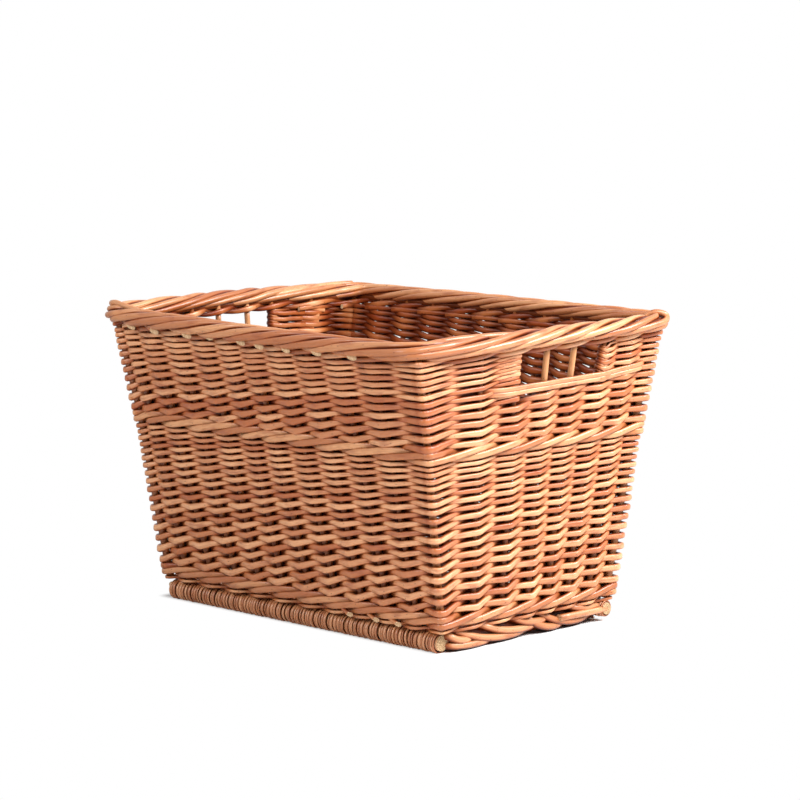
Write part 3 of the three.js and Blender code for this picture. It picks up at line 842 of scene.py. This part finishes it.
def roll_path(places, degrees, share):
    """Points in the roll of the border: a place along it, an angle round its oval section, which
    is zero outside and a quarter turn at the top, and a share of the way out from its middle.
    Out of the side goes the cosine, and up the sine, each times its half size less a strand."""
    angle = np.radians(degrees)
    centre, out, _ = rail(run_at(np.asarray(places, float)), *rail_half, BEND)
    share = np.broadcast_to(np.asarray(share, float), len(centre))
    reach = out * (share * (ROLL_OUT - STRAND) * np.cos(angle))[:, None]
    lift = np.interp(np.mod(places, STAKES), np.arange(STAKES + 1), [*LIFTS, LIFTS[0]])
    z = BORDER_LEVEL + lift + share * (ROLL_HIGH - STRAND) * np.sin(angle)
    return np.column_stack([centre + reach, z])


def roll_away(places, degrees):
    """The direction out of the roll's middle, at places along it and angles round it."""
    angle = np.radians(degrees)
    _, out, _ = rail(run_at(np.asarray(places, float)), *rail_half, BEND)
    return np.column_stack([out * np.cos(angle)[:, None], np.sin(angle)])


def border_rod(number):
    """One rod of the border: it comes out under the roll, climbs the outside slowly, crosses the
    top, goes down inside and is tucked in. It wavers by a sine of the bays, and tapers."""
    bays, degrees, share = np.array(TURN).T
    bays = bays * rng.uniform(0.96, 1.04)
    degrees = degrees + 5 * np.sin(bays * 1.7 + rng.uniform(0, 6))
    share = share * (1 + rng.uniform(-0.05, 0.05, len(share)))
    size = STRAND * rng.uniform(0.92, 1.06) * np.interp(bays, [0, 5.9], [1.12, 0.9])
    places = number + 0.1 + bays
    path = roll_path(places, degrees, share)
    # How open it lies, for the painted shade: dark deep in the roll, open outside
    proud = 8 * (2 * share - 1)
    return rod(path, size, size, away=roll_away(places, degrees), proud=proud)


def border_core(degrees):
    """A rod lying along the whole roll, inside the turning rods, at one angle."""
    places = np.linspace(0, STAKES, 3 * STAKES + 1)
    path = roll_path(places, degrees, 0.48)
    # Painted shade: the core lies deep in the roll, so it is dark
    return rod(path, 3.6, 4.4, steps=1, sides=8, away=(0, 0, 1), proud=-3)


def corner_rod(route):
    """A rod laid over the roll at a corner, along a route of places, angles and shares."""
    return rod(roll_path(*np.array(route).T), 3.1, 3.1, steps=4)


# Places, angles and shares of the rods that close the border at each corner
CORNER_RODS = (
    ((34.6, 8, 1.15), (34.8, 48, 1.5), (35.0, 76, 1.75), (35.3, 90, 1.8), (35.8, 98, 1.6),
     (36.3, 112, 1.3), (36.8, 140, 0.85)),
    ((10.0, 172, 0.8), (10.15, 138, 1.15), (10.4, 112, 1.35), (10.9, 102, 1.3), (11.4, 97, 1.15),
     (11.9, 92, 0.8)),
    ((16.9, 196, 0.8), (16.96, 150, 1.25), (17.0, 95, 1.5), (17.04, 40, 1.35), (17.1, 5, 1.1),
     (17.2, -30, 0.8)),
    ((28.05, 90, 1.4), (28.35, 98, 1.35), (28.9, 118, 1.2), (29.5, 148, 1.05), (30.1, 178, 0.8)),
)


# Cut ends under the border: on the front at distances along it, elsewhere one beyond each stake
FRONT_ENDS = (-175, -140, -92, -59, -14, 12, 49, 91, 138)
front_run = np.array(FRONT_ENDS) + rail_half[0] - BEND
front_places = np.interp(
    front_run, np.append(0, stake_runs[FRONT_STAKES]), np.append(-0.5, FRONT_STAKES)
)
others = np.arange(len(FRONT_STAKES), STAKES)
end_places = np.append(front_places, others + rng.uniform(0.3, 0.55, len(others)))


def border_end(place):
    """The cut end of a rod: straight down and along from under the roll, cut to face outwards. On
    the front the ends are thick and stand out, elsewhere they are thin and lie close."""
    stands_out = place < len(FRONT_STAKES) - 0.5
    first = roll_path([place - 0.5], -76, 0.6)[0]
    last = roll_path([place], -62, 1.45 if stands_out else 1.2)[0]
    last[2] -= rng.uniform(0.5, 3) * stands_out
    _, out, _ = rail(run_at(np.array([place])), *rail_half, BEND)
    out = np.append(out[0], 0)
    size = rng.uniform(2.6, 3.1) if stands_out else rng.uniform(1.4, 2)
    line = np.linspace(first, last, 4)
    return rod(line, size, size, steps=1, sides=12, cut=-1.5 * out, away=out, proud=2)


piece(
    "border_rods",
    [border_rod(number) for number in range(STAKES)]
    + [border_core(degrees) for degrees in (0, 120, 180, 250)]
    + [corner_rod(route) for route in CORNER_RODS]
    + [border_end(place) for place in end_places],
    (thick_willow, pale_cut), ["border"],
)


# Foot: the two edge sticks and the base weavers bound round them

stick_low, stick_high = extent("foot_stick_front")
stick_radius = (stick_high[2] - stick_low[2]) / 2
foot_level = middle("foot_stick_front")[2]
bare_stick = stick_radius + 0.6
STICK_ENDS = {"front": (-190, 188.5), "back": (-190, 199)}
THIN_END = {"front": 0, "back": 0.22}
THIN_LIFT = 1.8
BINDING_ROD = 3.9


def thinner(side, x):
    """How thick a stick is there, as a share: the back one thins evenly to its right end."""
    return 1 - np.interp(x, [100, 200], [0, THIN_END[side]])


for side in ("front", "back"):
    y = middle(f"foot_stick_{side}")[1]
    ends = np.linspace(*STICK_ENDS[side], 12)
    size = bare_stick * thinner(side, ends)
    line = np.column_stack([ends, np.full(12, y), foot_level + THIN_LIFT * (size[0] - size)])
    stick = rod(line, size, size, steps=1, sides=24)
    piece(
        f"foot_stick_{side}_rod", [stick], (stake_willow, stick_end),
        [f"foot_stick_{side}"],
    )


def binding_places(start, stop):
    """Middles and half widths of the binding turns along X: flattened rods of uneven width, side
    by side, with an open gap after every fifth or so. Widths and gaps are added up, and all of
    it is stretched to the length there is."""
    length = stop - start
    widths = rng.uniform(0.55, 1.5, int(length / BINDING_ROD)) * BINDING_ROD
    gaps = np.where(rng.random(len(widths)) < 0.18, 1.6, 0.2)
    edges = np.append(0, np.cumsum(widths + gaps))
    scale = length / edges[-1]
    return start + scale * (edges[:-1] + widths / 2), scale * widths / 2


for side in ("front", "back"):
    y = middle(f"foot_binding_{side}")[1]
    start, stop = STICK_ENDS[side]
    binding_x, binding_half = binding_places(start + 0.5, stop - 0.5)
    count = len(binding_x)
    thick = rng.uniform(1.1, 1.5, count)
    reach = (stick_radius + 0.7 + thick + rng.uniform(-0.2, 0.35, count)) * thinner(side, binding_x)
    lift = THIN_LIFT * bare_stick * (1 - thinner(side, binding_x))
    centres = np.column_stack([binding_x, np.full(count, y), foot_level + lift])
    turns = loops(centres, reach, binding_half, thick, rng.uniform(-0.9, 0.9, count))
    piece(
        f"foot_binding_{side}_turns", turns, (skein_willow, pale_cut),
        [f"foot_binding_{side}"],
    )


# Foot borders: thick rods between the stick ends, each coming down over the next

FOOT_ROD = 7.4
STRAIGHT_ROD = 7.2

# Each rod's start and stop, as shares of the length between the sticks, its top level, its low
# level, and how far out of the border's middle it begins
FOOT_RODS = (
    (-0.01, 0.28, 6.5, 4.3, -8), (-0.01, 0.15, 16.5, 9.6, -8), (0.05, 0.52, 18.0, 5.2, -2.5),
    (0.20, 0.60, 20.5, 9.0, -2.5), (0.50, 0.77, 19.0, 4.9, -2.5), (0.60, 0.95, 19.0, 6.0, -2.5),
    (0.42, 0.66, 20.0, 13.0, -4.5), (0.80, 1.04, 20.0, 15.5, -4.5),
)


def foot_rod(side_x, sign, start, stop, half, top, low, begin):
    """One rod of a foot border: a smooth path that comes out under the upsett at its top level,
    bends down and outwards, runs along at its low level and is tucked in."""
    share = np.array([0, 0.1, 0.26, 0.45, 0.65, 0.85, 1])
    y = -half + 2 * half * (start + (stop - start) * share)
    z = low + (top - low) * np.array([1, 0.75, 0.38, 0.12, 0, 0.02, 0.1])
    out = np.array([begin, 2.2, 3.6, 3.9, 3.2, 1.2, -2.5])
    size = FOOT_ROD / 2 * rng.uniform(0.94, 1.04) * np.array([0.95, 1, 1, 1, 1, 0.96, 0.9])
    line = np.column_stack([sign * (side_x + out), sign * y, z])
    # Painted shade by how far out of the border's middle it lies
    return rod(line, size, size, steps=4, sides=12, away=(0.8 * sign, 0, 0.6), proud=3 + out)


for side, sign in (("right", 1), ("left", -1)):
    side_x = abs(middle(f"foot_border_{side}")[0])
    half = extent(f"foot_border_{side}")[1][1] + 4
    away = (sign, 0, 0)
    rods = [
        foot_rod(side_x, sign, start, stop, half, top, level, begin)
        for start, stop, top, level, begin in FOOT_RODS
    ]
    straight = np.array([[side_x + 6.5, y, z] for y, z in ((0.42 * half, 12.4), (half + 7, 12.2))])
    straight = np.linspace(straight[0], straight[1], 6) * [sign, sign, 1]
    size = STRAIGHT_ROD / 2
    rods.append(rod(straight, size, size, steps=1, sides=12, away=away, proud=6))
    core = np.array([[side_x - 5, y, 10.5] for y in (-half, 0, half)]) * [sign, sign, 1]
    # Painted shade: the core lies deep, so it is dark
    rods.append(rod(core, 8.2, 4.5, steps=6, sides=12, away=away, proud=-8))
    piece(
        f"foot_border_{side}_rods", rods, (shaded_foot_willow, pale_cut),
        [f"foot_border_{side}"],
    )


# Base: sticks along X, and the weavers across them

base_lines = []
for number in range(sum(name.startswith("base_stick_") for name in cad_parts)):
    node = f"base_stick_{number + 1}"
    low, high = extent(node)
    y = middle(node)[1]
    base_lines.append(y)
    radius = (high[2] - low[2]) / 2
    ends = np.linspace(low[0], high[0], 10)
    line = np.column_stack([ends, np.full(10, y), np.full(10, foot_level)])
    stick = rod(line, radius, radius, steps=1, sides=14)
    piece(f"{node}_rod", [stick], (stake_willow, stick_end), [node])

weave_low, weave_high = extent("base_weave")
stick_line = abs(middle("foot_binding_front")[1])
BASE_ROD = 1.35
BASE_PITCH = 3.4


def base_weaver(x, half_width, number):
    """One weaver across the base: over one stick and under the next, a smooth wave whose crests
    touch the sticks, and its two ends lie on the edge sticks."""
    crossings = np.array([-stick_line, *base_lines, stick_line])
    reach = BASE_ROD + np.array([stick_radius, *[radius] * len(base_lines), stick_radius])
    sign = (-1.0) ** (np.arange(len(crossings)) + number)
    middles = (crossings[1:] + crossings[:-1]) / 2
    y = np.concatenate([crossings, middles])
    z = np.concatenate([foot_level + sign * reach, np.full(len(middles), foot_level)])
    order = np.argsort(y)
    path = np.column_stack([np.full(len(y), x), y[order], z[order]])
    return rod(path, BASE_ROD, half_width, steps=2, sides=6)


base_x = np.arange(weave_low[0] - 2, weave_high[0] + 2, BASE_PITCH)
across = [
    base_weaver(x, BASE_PITCH * rng.uniform(0.5, 0.62), number) for number, x in enumerate(base_x)
]
piece("base_weavers", across, (skein_willow, pale_cut), ["base_weave"])


# Camera, at the photograph's place

YAW, ELEVATION = math.radians(44.97), math.radians(7.74)
DISTANCE, ASIDE, ABOVE, FLOOR_RISE = 3197.8, 15.9, 199.1, 9.7
LENS, SENSOR = 143.8, 36
back = Vector((
    math.sin(YAW) * math.cos(ELEVATION), -math.cos(YAW) * math.cos(ELEVATION), math.sin(ELEVATION),
))
right = Vector((math.cos(YAW), math.sin(YAW), 0))
up = back.cross(right)
camera_data = bpy.data.cameras.new("camera")
camera_data.sensor_width = SENSOR
camera_data.lens = LENS
camera = bpy.data.objects.new("camera", camera_data)
eye = Vector((0, 0, FLOOR_RISE)) + back * DISTANCE + right * ASIDE + up * ABOVE
camera.matrix_world = Matrix.Translation(eye * MM) @ Matrix((right, up, back)).transposed().to_4x4()
camera_data.clip_end = 50
scene.collection.objects.link(camera)
scene.camera = camera


# Floor, light and background

FOOT_HALF = (0.2, 0.106, 0)
FADE_START, FADE_END = 0.001, 0.016


def studio_floor():
    """A pale floor. For the camera it turns to the white of the background by its distance from
    the rectangle under the foot, and inside that it holds the basket's shadow."""
    made, tree = new_material("pale studio floor")
    diffuse = add_node(tree, "BsdfDiffuse", inputs={"Color": linear("#ededed")})
    white = add_node(tree, "Emission", inputs={"Color": WHITE, "Strength": 1})
    offset = add_node(tree, "TexCoord")["Object"]
    none = (0, 0, 0)
    steps = (("ABSOLUTE", none), ("SUBTRACT", FOOT_HALF), ("MAXIMUM", none), ("LENGTH", none))
    for operation, other in steps:
        worked_out = add_node(tree, "VectorMath", {"operation": operation}, {0: offset, 1: other})
        offset = worked_out[0]
    fade = add_node(
        tree, "MapRange", {"interpolation_type": "SMOOTHSTEP"},
        {"Value": worked_out["Value"], "From Min": FADE_START, "From Max": FADE_END},
    )[0]
    seen = add_node(tree, "LightPath")["Is Camera Ray"]
    factor = add_node(tree, "Math", {"operation": "MULTIPLY"}, {0: fade, 1: seen})[0]
    mix = add_node(tree, "MixShader", inputs={"Fac": factor, 1: diffuse[0], 2: white[0]})
    add_node(tree, "OutputMaterial", inputs={"Surface": mix[0]})
    return made


FLOOR_REACH = 6
floor_corners = [(-1, -1, 0), (1, -1, 0), (1, 1, 0), (-1, 1, 0)]
floor_mesh = bpy.data.meshes.new("floor")
floor_mesh.from_pydata(np.multiply(floor_corners, FLOOR_REACH).tolist(), [], [(0, 1, 2, 3)])
floor_mesh.materials.append(studio_floor())
floor = bpy.data.objects.new("floor", floor_mesh)
scene.collection.objects.link(floor)

# The background is white where it is seen or mirrored, and lights the basket only a little
FILL = 0.15
world = bpy.data.worlds.new("studio")
scene.world = world
world.use_nodes = True
tree = world.node_tree
tree.nodes.clear()
ray = add_node(tree, "LightPath")
seen = ray["Is Camera Ray"]
for kind in ("Is Glossy Ray", "Is Transmission Ray"):
    seen = add_node(tree, "Math", {"operation": "MAXIMUM"}, {0: seen, 1: ray[kind]})[0]
strength = add_node(tree, "MapRange", inputs={"Value": seen, "To Min": FILL, "To Max": 1})[0]
background = add_node(tree, "Background", inputs={"Color": WHITE, "Strength": strength})
add_node(tree, "OutputWorld", inputs={"Surface": background[0]})


MIDDLE = 0.15


def soft_light(name, azimuth, elevation, distance, size, power):
    """A square soft box that faces the basket's middle from an azimuth and an elevation in
    degrees, at a distance in metres, with a size in metres and a power in watts."""
    data = bpy.data.lights.new(name, "AREA")
    data.size = size
    data.energy = power
    lamp = bpy.data.objects.new(name, data)
    a, e = math.radians(azimuth), math.radians(elevation)
    away = Vector((math.sin(a) * math.cos(e), -math.cos(a) * math.cos(e), math.sin(e)))
    lamp.location = Vector((0, 0, MIDDLE)) + away * distance
    lamp.rotation_mode = "QUATERNION"
    lamp.rotation_quaternion = away.to_track_quat("Z", "Y")
    scene.collection.objects.link(lamp)


soft_light("key", 84, 40, 1.9, 0.6, 30)
soft_light("right sheen", 130, 36, 1.9, 0.6, 43)
soft_light("front fill", -4, 34, 2.4, 0.8, 28)

scene.view_settings.view_transform = "Standard"
